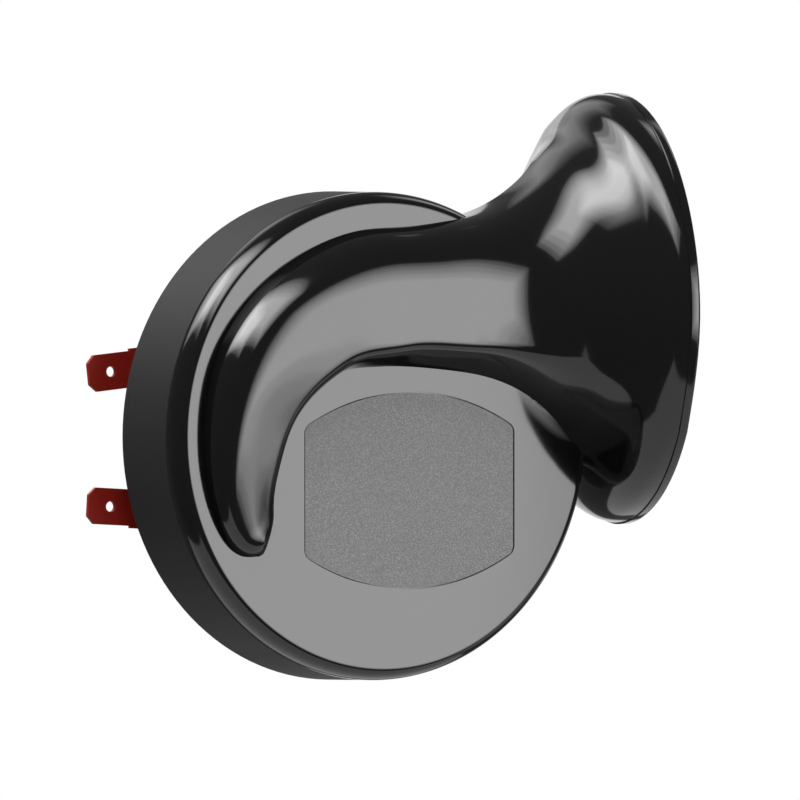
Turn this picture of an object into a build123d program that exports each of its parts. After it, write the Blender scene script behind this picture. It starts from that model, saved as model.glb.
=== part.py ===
from build123d import *
from math import cos, radians, sin, sqrt
import os

# Electric car horn with a disc body, a spiral sound channel and a flared bell.
# All lengths are in millimetres. The model is drawn with its axis along Y and y = 0 on the
# flat front face, +Y towards the back, +Z up and the bell opening to +X. write() then moves
# every piece so that the origin lies on the stud, where a bracket seats against the core nut.

# ---- driving sizes -------------------------------------------------------------------------
wall = 2.0                  # wall of both shells
fit_gap = 0.1               # clearance between pieces that seat in one another
slip_gap = 0.05             # round a stem, screw or thread in its hole
slide_gap = 0.5             # radial clearance round the moving armature

# front shell: face and shoulder
face_r = 40.0               # flat front face
shoulder_run = 2.3          # how far the shoulder reaches outwards
shoulder_y = 3.6            # depth of the seam between the two shells
rim_t = 2.2                 # thickness of the rim that lies round the rear shell's tongue

# rear shell: skirt, plate behind the channel and diaphragm seat
skirt_flare = 0.7           # how much wider the skirt is at its back edge
skirt_y = 17.6              # back edge of the skirt
floor_y = 5.0               # front of the plate that closes the channel
groove = 0.3                # how far the channel is sunk into that plate
seat_gap = 4.3              # free width between the skirt's wall and the seat ring
seat_w = 4.6                # width of the seat ring
seat_h = 4.0                # height of the seat ring on the plate
throat_r = 2.2              # sound inlet at the tail of the channel
rib_count = 12
rib_t = 1.4
rib_bury = 0.3              # how far a rib's ends run into the walls
tongue_t = 1.6              # tongue that centres the front shell
tongue_gap = 0.3            # between the tongue's end and the front shell
seam_chamfer = 0.5

# spiral sound channel, seen from the front
channel_ledge = 2.0         # flat ledge between the channel and the edge of the face
channel_w = 23.8            # width over the top of the disc
crest_h = 8.0               # height over the top of the disc
crest_round = 1.8           # rounding between the crest and the inner side

# bell
mouth_x = 53.2
mouth_y = 9.8
mouth_z = 22.8
mouth_r = 39.2
mouth_turn = 16.0           # degrees that the mouth is turned towards the front
lip_land = 1.8              # straight land at the mouth

# blank foil on the face
label_x = 4.2
label_z = -9.4
label_w = 42.8
label_h = 33.8
label_side_h = 22.0         # height of the straight sides
label_corner = 1.8
label_t = 0.4
label_sunk = 0.1            # how far the foil lies below the face

# diaphragm stack
gasket_t = 0.5
diaphragm_t = 0.3
wave_r = 21.0               # middle of the diaphragm's corrugation
wave_run = 3.0              # from its middle to its edge
wave_h = 0.8

# motor can
can_t = 1.2
flange_step = 1.4           # how far the wide cup lies inside the seat ring
can_step_w = 8.0            # width of the step between the wide cup and the coil cup
can_wide_h = 8.0            # depth of the wide cup
can_cup_h = 16.5            # depth of the coil cup
can_bend = 1.6              # outer bends
collar_r = 3.2              # plunged collar that takes the adjusting screw
collar_h = 2.6

# screws that clamp the can to the rear shell
screw_count = 6
screw_r = 1.5
screw_len = 7.8
screw_head_r = 2.2
screw_head_h = 1.9
screw_slot_w = 0.7
screw_slot_len = 2.8

# armature
stem_r = 3.0                # stem through the diaphragm
armature_washer_t = 1.0
armature_nut_t = 2.6
armature_nut_flats = 10.0
neck_in = 0.6               # depth of the groove that holds the pusher

# electromagnet
armature_r = 8.0
air_gap = 0.9               # between armature and core, with the coil switched off
core_len = 11.8             # length of the pole core inside the can
stud_r = 4.0                # M8
stud_free = 14.0            # length beyond the core nut
stud_chamfer = 0.8
thread_h = 0.4              # the thread under the nut is drawn at its middle depth
washer_t = 1.6
washer_r = 8.0
nut_h = 6.5
nut_flats = 13.0
bobbin_t = 1.1
bobbin_end_gap = 0.6        # between the bobbin and the step of the can
coil_inset = 2.0            # between the winding and the can's wall

# breaker
leaf_t = 0.3
leaf_w = 5.0
leaf_over = 2.2             # how far the leaf reaches over the pusher
bracket_t = 1.2
bracket_w = 6.4
insulator_t = 1.0
contact_r = 1.6
pusher_rim = 3.6            # how far the pusher stands out from the armature
pusher_hub = 1.4            # thickness of its hub
pusher_hub_h = 1.2
pusher_t = 1.7
pusher_gap = 0.3            # between pusher and leaf at rest
stack_inset = 3.4           # between the breaker's rivets and the wide cup's wall
stack_half_w = 6.0
root_h = 4.8                # height of the riveted ends
root_gap = 0.4              # between the riveted ends and the can's wall
rivet_r = 1.1
rivet_x = 3.6
rivet_head_r = 2.1
rivet_head_t = 0.8
tone_x = 10.6               # adjusting screw beside the rivets
tone_r = 2.0
tone_head_r = 3.4
tone_head_h = 2.2
tone_free = 1.6             # thread seen between the collar and the head
tone_ear = 0.9              # metal round the end of the adjusting screw
tone_bridge_w = 3.6

# terminals
tab_w = 6.3
tab_t = 0.8
tab_tip_x = -46.4
tab_pitch = 23.6            # between the two tips
tab_hole_r = 0.9
tab_hole_in = 4.3           # hole centre from the tip
tab_lean = {"upper": 6.5, "lower": 3.5}          # degrees that each tip leans to the middle
tab_chamfer = 1.3
tab_step = 0.4              # shoulder where the blade widens
tab_shoulder_in = 8.4       # from the tip
block_t = 2.0
block_half_h = 16.2
block_corner = 2.0
guide_w = 1.2               # rib between the tabs
guide_h = 3.4
eyelet_r = 1.5
eyelet_bore = 0.7
eyelet_head = 1.1           # how far an eyelet's head stands out
eyelet_head_t = 0.6
fibre_t = 1.0               # washer under the eyelet's inner head

# ---- places that follow from the sizes -----------------------------------------------------
skirt_front_r = face_r + shoulder_run
skirt_back_r = skirt_front_r + skirt_flare
rim_r = skirt_front_r - rim_t
tongue_r = rim_r - fit_gap
channel_r = face_r - channel_ledge              # outer edge of the channel
zone_r = channel_r + 0.35                       # inside it the rear shell closes the duct
zone_back = 60.0                                # any depth behind the horn's shells
floor_back = floor_y + wall
duct_back = floor_back + groove
seat_y = floor_back + seat_h                    # where the front gasket lies
seat_r = skirt_front_r - wall - seat_gap
seat_in = seat_r - seat_w
screw_pitch_r = seat_r - seat_w / 2
front_gasket_y = seat_y
diaphragm_y = front_gasket_y + gasket_t
rear_gasket_y = diaphragm_y + diaphragm_t
flange_y = rear_gasket_y + gasket_t
flange_back = flange_y + can_t
can_wide_r = seat_in - flange_step              # inside radius of the wide cup
can_step_y = flange_back + can_wide_h - can_t   # inside face of the step
step_back = can_step_y + can_t
can_cup_r = can_wide_r - can_step_w             # inside radius of the coil cup
can_back_y = can_step_y + can_cup_h             # inside face of the back
can_back = can_back_y + can_t
core_y = can_back_y - core_len                  # front face of the core
nut_back = can_back + washer_t + nut_h          # bracket seat, the part's origin
armature_back = core_y - air_gap
coil_r = can_cup_r - coil_inset
bobbin_front_y = can_step_y + bobbin_end_gap
shank_r = stud_r - thread_h
pusher_r = armature_r + pusher_rim
stack_z = can_wide_r - stack_inset              # height of the breaker's rivets above the axis
contact_z = (pusher_r + stack_z) / 2 - contact_r
eyelet_z = tab_pitch / 2 + 1.4
eyelet_pitch_r = can_wide_r - eyelet_r - eyelet_head - 0.3
eyelet_x = -sqrt(eyelet_pitch_r ** 2 - eyelet_z ** 2)
block_x = -(seat_r - 0.6)                       # outer edge of the terminal block
block_back = step_back + block_t


def write(shape, name):
    """Move a piece into the part's frame and write its file."""
    export_step(shape.moved(Location((0, -nut_back, 0))), f"parts/{name}.step")


def turned(*points):
    """Solid of revolution about Y from (radius, y) corners."""
    outline = Polyline(*points, close=True)
    return revolve(Plane.XY * make_face(outline), Axis.Y, 360)


def disc(radius, front, back):
    """Plain cylinder about Y between two depths."""
    return Location((0, front, 0), (-90, 0, 0)) * Cylinder(
        radius, back - front, align=(Align.CENTER, Align.CENTER, Align.MIN))


def pin(x, z, radius, front, back):
    """Cylinder parallel to Y through (x, z)."""
    return Pos(x, 0, z) * disc(radius, front, back)


def plate(sketch, front, back):
    """Flat piece parallel to the face. The sketch's x and y are the part's X and Z."""
    lying = Plane((0, back, 0), x_dir=(1, 0, 0), z_dir=(0, -1, 0))
    return extrude(lying * sketch, back - front)


def hexagon(flats, front, back):
    return plate(RegularPolygon(flats / 2, 6, major_radius=False), front, back)


# ---- sound duct: spiral channel and bell ---------------------------------------------------
# Each section is a closed curve of three edges: the outer side with the crest (A), the inner
# side wall (B) and the back (C). Over the disc it is a low arch that stands on the channel
# floor. Towards the mouth it becomes a circle. u points away from the disc's middle and w
# towards the front.

A_TURNS = (-25, -12, 10, 38, 64, 95, 125)
B_TURNS = (125, 129, 134, 141, 158, 180, 205)
C_TURNS = (205, 238, 270, 302, 335)


def arch(half, height, outer_run, inner_run, side_back, mid_back, inset):
    """Points of a low arch, shrunk by inset on every side."""
    half -= inset
    height -= inset
    side_back -= inset
    mid_back -= inset
    outer_run = max(outer_run - inset, 0.4)
    crest_out = half - outer_run
    crest_in = inner_run - half
    swell = 0.015 * half
    edge_a = [(half, -side_back)]
    for turn in (0, 30, 60, 90):
        angle = radians(turn)
        edge_a.append((crest_out + outer_run * cos(angle), height * sin(angle)))
    edge_a.append(((crest_out + crest_in) / 2, height + swell))
    bend = min(crest_round, 0.4 * height, 0.7 * inner_run, 0.6 * (crest_out - crest_in))
    top = height - swell
    edge_a.append((crest_in + 0.64 * bend, top))
    wall_top = (crest_in - 0.27 * bend, top - 0.58 * bend)
    edge_b = [edge_a[-1], (crest_in + 0.26 * bend, top - 0.07 * bend),
              (crest_in - 0.06 * bend, top - 0.28 * bend), wall_top,
              ((wall_top[0] - half) / 2 - 0.03 * height, wall_top[1] / 2), (-half, 0),
              (-half, -side_back)]
    belly = side_back + 0.75 * (mid_back - side_back)
    edge_c = [edge_b[-1], (-half / 2, -belly), (0, -mid_back), (half / 2, -belly), edge_a[0]]
    return edge_a, edge_b, edge_c


def ring(radius, axis_back, turns):
    """Points on a circle whose centre lies axis_back behind the face."""
    return [(radius * cos(radians(t)), radius * sin(radians(t)) - axis_back) for t in turns]


def mixed(first, second, share):
    return [((1 - share) * a[0] + share * b[0], (1 - share) * a[1] + share * b[1])
            for a, b in zip(first, second)]


def section(origin, outwards, forwards, edges):
    """Planar face through three edges, each a list of (u, w) points."""
    def place(point):
        return origin + outwards * point[0] + forwards * point[1]
    curves = [Spline(*[place(p) for p in edge]) for edge in edges]
    return Face(Wire(curves))


# Rows over the disc: angle on the disc, outer edge and inner edge as shares of channel_r, crest
# as a share of crest_h, run of the outer and the inner side as shares of channel_w. The rows of
# TAIL round off the closed end, which is solid.
TAIL = (
    (216.9, 0.888, 0.840, 0.16, 0.030, 0.030),
    (215.7, 0.916, 0.800, 0.28, 0.080, 0.080),
    (213.6, 0.950, 0.757, 0.40, 0.110, 0.110),
    (211.2, 0.968, 0.731, 0.43, 0.112, 0.095),
)
SPIRAL = (
    (208.8, 0.978, 0.712, 0.44, 0.110, 0.082),
    (205, 0.985, 0.688, 0.47, 0.115, 0.085),
    (190, 0.985, 0.598, 0.60, 0.135, 0.100),
    (175, 0.980, 0.530, 0.71, 0.160, 0.118),
    (160, 0.980, 0.468, 0.81, 0.190, 0.123),
    (145, 0.966, 0.421, 0.88, 0.230, 0.110),
    (130, 0.950, 0.384, 0.93, 0.260, 0.107),
    (115, 0.943, 0.343, 0.97, 0.285, 0.108),
    (100, 0.945, 0.320, 0.99, 0.295, 0.114),
)

# Rows along the bell: distance from the disc's middle as a share of mouth_x, radius as a share
# of mouth_r, height of the centre above the mouth's, depth of the axis, how round the front and
# the back are, crest, outer run, inner run, and depth of the back at the sides and the middle.
# The rows of FLARE are full circles, whose depth is counted from the mouth's.
BELL = (
    (0.038, 0.308, 1.3, 9.0, 0.00, 0.00, 8.0, 7.2, 3.1, 7.3, 7.3),
    (0.207, 0.330, 1.6, 8.4, 0.00, 0.00, 8.3, 8.0, 3.4, 7.3, 7.3),
    (0.360, 0.370, 1.8, 7.7, 0.15, 0.00, 9.0, 9.0, 4.2, 7.3, 7.5),
    (0.490, 0.433, 2.0, 7.1, 0.35, 0.00, 10.5, 11.0, 5.6, 7.3, 8.5),
    (0.602, 0.528, 2.1, 6.7, 0.60, 0.06, 13.0, 14.0, 9.0, 7.4, 10.0),
    (0.696, 0.643, 2.0, 6.5, 0.80, 0.40, 16.0, 18.0, 13.0, 8.0, 14.5),
    (0.790, 0.783, 1.4, 6.9, 0.95, 0.85, 19.5, 20.0, 15.0, 10.0, 26.0),
)
FLARE = (
    (0.865, 0.905, 0.8, -2.2),
    (0.930, 0.976, 0.3, -1.3),
    (1.000, 1.000, 0.0, 0.0),
)


def spiral_section(row, inset):
    angle, outer, inner, crest, outer_run, inner_run = row
    outer_r = outer * channel_r
    inner_r = inner * channel_r
    turn = radians(angle)
    outwards = Vector(cos(turn), 0, sin(turn))
    origin = outwards * ((outer_r + inner_r) / 2)
    edges = arch((outer_r - inner_r) / 2, crest * crest_h, outer_run * channel_w,
                 inner_run * channel_w, duct_back, duct_back, inset)
    return section(origin, outwards, Vector(0, -1, 0), edges)


def bell_frame(share):
    """Outward and forward directions of a bell section."""
    turn = radians(mouth_turn) * share ** 2
    return Vector(0, 0, 1), Vector(-sin(turn), -cos(turn), 0)


def bell_section(row, inset):
    share, radius, lift, back, round_front, round_back = row[:6]
    crest, outer_run, inner_run, side_back, mid_back = row[6:]
    radius = radius * mouth_r
    outwards, forwards = bell_frame(share)
    origin = Vector(share * mouth_x, 0, mouth_z + lift)
    low = arch(radius, crest, outer_run, inner_run, side_back, mid_back, inset)
    full = [ring(radius - inset, back, turns) for turns in (A_TURNS, B_TURNS, C_TURNS)]
    edge_a = mixed(low[0], full[0], round_front)
    edge_b = mixed(low[1], full[1], round_front)
    edge_c = mixed(low[2], full[2], round_back)
    edge_a[0] = edge_c[-1]
    edge_b[-1] = edge_c[0]
    return section(origin, outwards, forwards, (edge_a, edge_b, edge_c))


def flare_section(row, inset, beyond=0.0):
    share, radius, lift, back = row
    outwards, forwards = bell_frame(share)
    ahead = outwards.cross(forwards)
    origin = Vector(share * mouth_x, mouth_y + back, mouth_z + lift) + ahead * beyond
    edges = [ring(radius * mouth_r - inset, 0, turns) for turns in (A_TURNS, B_TURNS, C_TURNS)]
    return section(origin, outwards, forwards, edges)


def duct(inset, start_rows, land_end=lip_land):
    """Spiral channel and bell up to the rim of the flare, then the straight land."""
    rows = [spiral_section(row, inset) for row in start_rows + SPIRAL]
    rows += [bell_section(row, inset) for row in BELL]
    rows += [flare_section(row, inset) for row in FLARE]
    land = loft([rows[-1], flare_section(FLARE[-1], inset, land_end)])
    return loft(rows) + land


duct_outside = duct(0, TAIL)
duct_inside = duct(wall, (), lip_land + 1)
duct_clear = duct(-fit_gap, TAIL)

# ---- front shell: gloss moulding with face, shoulder, channel and bell ---------------------

def label_outline(grow):
    """Barrel shape with straight sides and arched top and bottom."""
    half_w = label_w / 2 + grow
    half_side = label_side_h / 2
    half_h = label_h / 2 + grow
    corner_a, corner_b = (-half_w, half_side), (half_w, half_side)
    corner_c, corner_d = (half_w, -half_side), (-half_w, -half_side)
    edges = [ThreePointArc(corner_a, (0, half_h), corner_b), Line(corner_b, corner_c),
             ThreePointArc(corner_c, (0, -half_h), corner_d), Line(corner_d, corner_a)]
    barrel = make_face(edges)
    return Pos(label_x, label_z) * fillet(barrel.vertices(), label_corner)


def front_shell():
    shoulder = EllipticalCenterArc((face_r, shoulder_y), shoulder_run, shoulder_y,
                                    start_angle=270, arc_size=90)
    inside = Polyline((skirt_front_r, shoulder_y), (rim_r, shoulder_y), (rim_r, wall), (0, wall),
                      (0, 0), (face_r, 0))
    cap = revolve(Plane.XY * make_face([shoulder, inside]), Axis.Y, 360)
    floor_zone = disc(zone_r, floor_y, zone_back)
    shell = cap + (duct_outside - floor_zone) - duct_inside
    recess = plate(label_outline(fit_gap), 0, label_sunk + label_t)
    return shell - recess


# ---- rear shell: matte moulding with skirt, channel floor and diaphragm seat ---------------
def at_screws(shape):
    """Copies of a piece drawn on the axis, one at each screw."""
    return [Pos(screw_pitch_r * cos(radians(turn)), 0, screw_pitch_r * sin(radians(turn))) * shape
            for turn in range(0, 360, 360 // screw_count)]


def rear_shell():
    shell = turned(
        (0, floor_y), (tongue_r - tongue_t, floor_y), (tongue_r - tongue_t, wall + tongue_gap),
        (tongue_r, wall + tongue_gap), (tongue_r, shoulder_y),
        (skirt_front_r - seam_chamfer, shoulder_y), (skirt_front_r, shoulder_y + seam_chamfer),
        (skirt_back_r, skirt_y), (skirt_back_r - wall, skirt_y),
        (skirt_front_r - wall, floor_back), (seat_r, floor_back), (seat_r, seat_y),
        (seat_in, seat_y), (seat_in, floor_back), (0, floor_back))
    rib_span = seat_gap + 2 * rib_bury
    rib_at = seat_r + seat_gap / 2
    rib = Pos(rib_at, floor_back + seat_h / 2, 0) * Box(rib_span, seat_h, rib_t)
    for step in range(rib_count):
        shell += Rot(0, 360 / rib_count * (step + 0.5), 0) * rib
    shell -= duct_clear - disc(zone_r - fit_gap, floor_y, zone_back)
    shell += duct_outside & disc(zone_r - fit_gap, floor_y, zone_back)
    shell -= duct_inside
    throat_turn = radians(SPIRAL[0][0] - 2)
    throat_at = screw_pitch_r - 3.2
    shell -= pin(throat_at * cos(throat_turn), throat_at * sin(throat_turn), throat_r,
                 floor_y - 1, seat_y + 1)
    pilot = disc(screw_r + 0.02, flange_back - screw_len - 0.4, seat_y + 1)
    for hole in at_screws(pilot):
        shell -= hole
    return shell


# ---- blank foil ----------------------------------------------------------------------------
def face_label():
    return plate(label_outline(0), label_sunk, label_sunk + label_t)


# ---- diaphragm stack -----------------------------------------------------------------------
clamp_hole_r = screw_r + 0.2


def clamped(shape):
    """Cut the six screw holes through a piece of the clamped stack."""
    for hole in at_screws(disc(clamp_hole_r, seat_y - 1, flange_back + 1)):
        shape -= hole
    return shape


def gasket(front):
    return clamped(turned((seat_in, front), (seat_r - 0.2, front),
                          (seat_r - 0.2, front + gasket_t), (seat_in, front + gasket_t)))


def diaphragm():
    edge = seat_r - 0.2
    bore = stem_r + 0.06
    profile = ((bore, 0), (wave_r - wave_run, 0), (wave_r, wave_h), (wave_r + wave_run, 0), (edge, 0))
    front_side = [(r, diaphragm_y + y) for r, y in profile]
    back_side = [(r, diaphragm_y + y + diaphragm_t) for r, y in reversed(profile)]
    return clamped(turned(*front_side, *back_side))


# ---- armature group, which moves along Y ---------------------------------------------------
armature_washer_y = diaphragm_y - armature_washer_t
armature_nut_y = armature_washer_y - armature_nut_t
leaf_y = can_step_y - insulator_t - leaf_t       # front face of the spring leaf
pusher_back = leaf_y - pusher_gap
pusher_front = pusher_back - pusher_t
neck_y = pusher_front - pusher_hub_h
neck_r = armature_r - neck_in


def armature():
    shaft_y = armature_nut_y - 0.4
    return turned((0, shaft_y), (stem_r - 0.4, shaft_y), (stem_r, shaft_y + 0.4),
                  (stem_r, rear_gasket_y), (armature_r, rear_gasket_y), (armature_r, neck_y),
                  (neck_r, neck_y), (neck_r, pusher_back), (armature_r, pusher_back),
                  (armature_r, armature_back - 0.5), (armature_r - 0.5, armature_back),
                  (0, armature_back))


def armature_washer():
    return turned((stem_r + slip_gap, armature_washer_y), (armature_r, armature_washer_y),
                  (armature_r, diaphragm_y), (stem_r + slip_gap, diaphragm_y))


def armature_nut():
    nut = hexagon(armature_nut_flats, armature_nut_y, armature_washer_y)
    return nut - disc(stem_r + slip_gap, armature_nut_y - 1, diaphragm_y)


def contact_pusher():
    """Insulating collar pressed into the armature's groove."""
    hub_r = armature_r + pusher_hub
    return turned((neck_r, neck_y), (hub_r, neck_y), (hub_r, pusher_front),
                  (pusher_r, pusher_front), (pusher_r, pusher_back), (neck_r, pusher_back))


# ---- motor can -----------------------------------------------------------------------------
tone_z = sqrt(((can_wide_r + can_cup_r + can_t) / 2 + 0.9) ** 2 - tone_x ** 2)


def motor_can():
    wide_out = can_wide_r + can_t
    cup_out = can_cup_r + can_t
    stud_hole = stud_r + fit_gap
    outline = Polyline(
        (can_wide_r, flange_y), (seat_r, flange_y), (seat_r, flange_back), (wide_out, flange_back),
        (wide_out, step_back), (cup_out, step_back), (cup_out, can_back), (stud_hole, can_back),
        (stud_hole, can_back_y), (can_cup_r, can_back_y), (can_cup_r, can_step_y),
        (can_wide_r, can_step_y), close=True)
    drawn = make_face(outline)
    outer_bends = [v for v in drawn.vertices()
                   if (v.X, v.Y) in ((wide_out, step_back), (cup_out, can_back))]
    can = revolve(Plane.XY * fillet(outer_bends, can_bend), Axis.Y, 360)
    can = clamped(can) + pin(tone_x, tone_z, collar_r, step_back - 0.2, step_back + collar_h)
    can -= pin(tone_x, tone_z, tone_r + slip_gap, can_step_y - 1, step_back + collar_h + 1)
    for side in (-1, 1):
        can -= pin(side * rivet_x, stack_z, rivet_r + 0.3, can_step_y - 1, step_back + 1)
        can -= pin(eyelet_x, side * eyelet_z, eyelet_r + 0.5, can_step_y - 1, step_back + 1)
    return can


def can_screws():
    head_back = flange_back + screw_head_h
    tip = flange_back - screw_len
    crown = ThreePointArc((screw_head_r, flange_back + 0.6), (screw_head_r * 0.62, head_back - 0.35),
                          (0, head_back))
    rest = Polyline((0, head_back), (0, tip), (screw_r - 0.6, tip), (screw_r, tip + 1.2),
                    (screw_r, flange_back), (screw_head_r, flange_back),
                    (screw_head_r, flange_back + 0.6))
    screw = revolve(Plane.XY * make_face([crown, rest]), Axis.Y, 360)
    for turn in (0, 90):
        slot = Rot(0, turn, 0) * Box(screw_slot_len, 1.0, screw_slot_w)
        screw -= Pos(0, head_back - 0.2, 0) * slot
    return Compound(children=[copy for copy in at_screws(screw)])


# ---- electromagnet -------------------------------------------------------------------------
bobbin_bore = armature_r + slide_gap
bobbin_seat = armature_r + fit_gap
bobbin_tube_r = bobbin_bore + bobbin_t
bobbin_flange_r = can_cup_r - 0.3


def pole_core():
    """Core with its stud. Under the nut the thread is drawn at its middle depth."""
    tip = nut_back + stud_free
    return turned((0, core_y), (armature_r - 0.6, core_y), (armature_r, core_y + 0.6),
                  (armature_r, can_back_y), (shank_r, can_back_y), (shank_r, nut_back),
                  (stud_r, nut_back), (stud_r, tip - stud_chamfer), (stud_r - stud_chamfer, tip),
                  (0, tip))


def core_washer():
    return turned((stud_r + 0.3, can_back), (washer_r, can_back), (washer_r, can_back + washer_t),
                  (stud_r + 0.3, can_back + washer_t))


def core_nut():
    nut = hexagon(nut_flats, can_back + washer_t, nut_back)
    corner_cut = turned((nut_flats / 2 - 0.1, nut_back + 0.1), (nut_flats, nut_back + 0.1),
                        (nut_flats, nut_back - 2.6))
    bore_r = shank_r + slip_gap
    entry_r = stud_r + fit_gap
    entry_y = nut_back - (entry_r - bore_r)
    bore = turned((0, can_back), (bore_r, can_back), (bore_r, entry_y), (entry_r, nut_back),
                  (entry_r, nut_back + 1), (0, nut_back + 1))
    return nut - bore - corner_cut


def coil_bobbin():
    ledge = core_y + 1.5
    return turned((bobbin_bore, bobbin_front_y), (bobbin_flange_r, bobbin_front_y),
                  (bobbin_flange_r, bobbin_front_y + bobbin_t), (bobbin_tube_r, bobbin_front_y + bobbin_t),
                  (bobbin_tube_r, can_back_y - bobbin_t), (bobbin_flange_r, can_back_y - bobbin_t),
                  (bobbin_flange_r, can_back_y), (bobbin_seat, can_back_y), (bobbin_seat, ledge),
                  (bobbin_bore, ledge))


def coil_winding():
    front = bobbin_front_y + bobbin_t + slip_gap
    back = can_back_y - bobbin_t - slip_gap
    inner_r = bobbin_tube_r + slip_gap
    crown = ThreePointArc((coil_r - 0.5, front), (coil_r, (front + back) / 2), (coil_r - 0.5, back))
    rest = Polyline((coil_r - 0.5, back), (inner_r, back), (inner_r, front), (coil_r - 0.5, front))
    return revolve(Plane.XY * make_face([crown, rest]), Axis.Y, 360)


# ---- breaker -------------------------------------------------------------------------------
bracket_y = leaf_y - insulator_t - bracket_t
contact_t = insulator_t / 2
leaf_end_z = pusher_r - leaf_over


def through_rivets(shape):
    for side in (-1, 1):
        shape -= pin(side * rivet_x, stack_z, rivet_r, bracket_y - 1, can_step_y + 1)
    return shape


def stack_root():
    """Outline of the riveted end, kept clear of the can's wall."""
    return Pos(0, stack_z) * Rectangle(2 * stack_half_w, root_h) & Circle(can_wide_r - root_gap)


def contact_insulators():
    layers = [plate(stack_root(), can_step_y - insulator_t, can_step_y),
              plate(stack_root(), leaf_y - insulator_t, leaf_y)]
    return Compound(children=[through_rivets(layer) for layer in layers])


def contact_arm():
    reach = stack_z - leaf_end_z
    tongue = Pos(0, leaf_end_z + reach / 2) * Rectangle(leaf_w, reach)
    return through_rivets(plate(stack_root() + tongue, leaf_y, leaf_y + leaf_t))


def contact_bracket():
    reach = stack_z - contact_z + contact_r + 0.8
    arm = Pos(0, stack_z - reach / 2) * Rectangle(bracket_w, reach)
    ear = Pos(tone_x, tone_z) * Circle(tone_r + tone_ear)
    bridge_x = (stack_half_w + tone_x) / 2
    bridge = Pos(bridge_x, tone_z) * Rectangle(tone_x - stack_half_w + 2, tone_bridge_w)
    outline = (stack_root() + arm + ear + bridge) & Circle(can_wide_r - root_gap)
    return through_rivets(plate(outline, bracket_y, bracket_y + bracket_t))


def contact(front):
    return pin(0, contact_z, contact_r, front, front + contact_t)


def contact_rivets():
    rivets = []
    for side in (-1, 1):
        rivet = (disc(rivet_head_r, bracket_y - rivet_head_t, bracket_y)
                 + disc(rivet_r, bracket_y - 0.1, step_back + 0.1)
                 + disc(rivet_head_r, step_back, step_back + rivet_head_t))
        rivets.append(Pos(side * rivet_x, 0, stack_z) * rivet)
    return Compound(children=rivets)


def tone_screw():
    tip = bracket_y + bracket_t
    head = step_back + collar_h + tone_free
    top = head + tone_head_h
    screw = turned((0, tip), (tone_r - 0.5, tip), (tone_r, tip + 0.6), (tone_r, head),
                   (tone_head_r, head), (tone_head_r, top), (0, top))
    slot = Pos(0, top, 0) * Box(2 * tone_head_r + 1, 2.0, 1.0)
    return Pos(tone_x, 0, tone_z) * (screw - slot)


# ---- terminals -----------------------------------------------------------------------------
def terminal_block():
    """Moulded carrier that lies on the step of the can and insulates the tabs from it."""
    inner_x = -can_cup_r + 2.0
    block = Pos((block_x + inner_x) / 2, 0) * Rectangle(inner_x - block_x, 2 * block_half_h)
    block = fillet(block.vertices(), block_corner) - Circle(can_cup_r + can_t + fit_gap)
    carrier = plate(block, step_back, block_back)
    for side in (-1, 1):
        carrier -= pin(eyelet_x, side * eyelet_z, eyelet_r, step_back - 1, block_back + 1)
    guide_len = eyelet_x - block_x - 3
    guide = Pos((block_x + eyelet_x) / 2 - 1, 0) * Rectangle(guide_len, guide_w)
    return carrier + plate(guide, block_back - 0.2, block_back + guide_h)


def terminal_tab(name):
    """Spade tab drawn with its eyelet at the sketch's origin and its tip towards -X."""
    sign = 1 if name == "upper" else -1
    tip = tab_tip_x - eyelet_x
    half = tab_w / 2
    root = half + tab_step
    shoulder_x = tip + tab_shoulder_in
    blade = make_face(Polyline(
        (tip, half - tab_chamfer), (tip + tab_chamfer, half), (shoulder_x, half),
        (shoulder_x, root), (0, root), (0, -root), (shoulder_x, -root), (shoulder_x, -half),
        (tip + tab_chamfer, -half), (tip, tab_chamfer - half), close=True))
    outline = blade + Circle(root) - Circle(eyelet_r) - Pos(tip + tab_hole_in, 0) * Circle(tab_hole_r)
    leaning = Pos(eyelet_x, sign * eyelet_z) * Rot(0, 0, sign * tab_lean[name]) * outline
    return plate(leaning, block_back, block_back + tab_t)


def terminal_rivets():
    front = can_step_y - fibre_t
    back = block_back + tab_t
    head_r = eyelet_r + eyelet_head
    eyelet = turned((eyelet_bore, front - eyelet_head_t), (head_r, front - eyelet_head_t),
                    (head_r, front), (eyelet_r, front), (eyelet_r, back), (head_r, back),
                    (head_r, back + eyelet_head_t), (eyelet_bore, back + eyelet_head_t))
    return Compound(children=[Pos(eyelet_x, 0, side * eyelet_z) * eyelet for side in (-1, 1)])


def terminal_washers():
    """Fibre washers between the can and the eyelets' inner heads."""
    front = can_step_y - fibre_t
    washer_edge = eyelet_r + eyelet_head + 0.2
    washer = turned((eyelet_r, front), (washer_edge, front), (washer_edge, can_step_y),
                    (eyelet_r, can_step_y))
    return Compound(children=[Pos(eyelet_x, 0, side * eyelet_z) * washer for side in (-1, 1)])


# ---- write every piece ---------------------------------------------------------------------
write(front_shell(), "front_shell")
write(rear_shell(), "rear_shell")
write(face_label(), "face_label")
write(gasket(front_gasket_y), "front_gasket")
write(diaphragm(), "diaphragm")
write(gasket(rear_gasket_y), "rear_gasket")
write(armature(), "armature")
write(armature_washer(), "armature_washer")
write(armature_nut(), "armature_nut")
write(contact_pusher(), "contact_pusher")
write(motor_can(), "motor_can")
write(can_screws(), "can_screws")
write(pole_core(), "pole_core")
write(core_washer(), "core_washer")
write(core_nut(), "core_nut")
write(coil_bobbin(), "coil_bobbin")
write(coil_winding(), "coil_winding")
write(contact_insulators(), "contact_insulators")
write(contact_arm(), "contact_arm")
write(contact_bracket(), "contact_bracket")
write(contact(bracket_y + bracket_t), "fixed_contact")
write(contact(leaf_y - contact_t), "moving_contact")
write(contact_rivets(), "contact_rivets")
write(tone_screw(), "tone_screw")
write(terminal_block(), "terminal_block")
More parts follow.
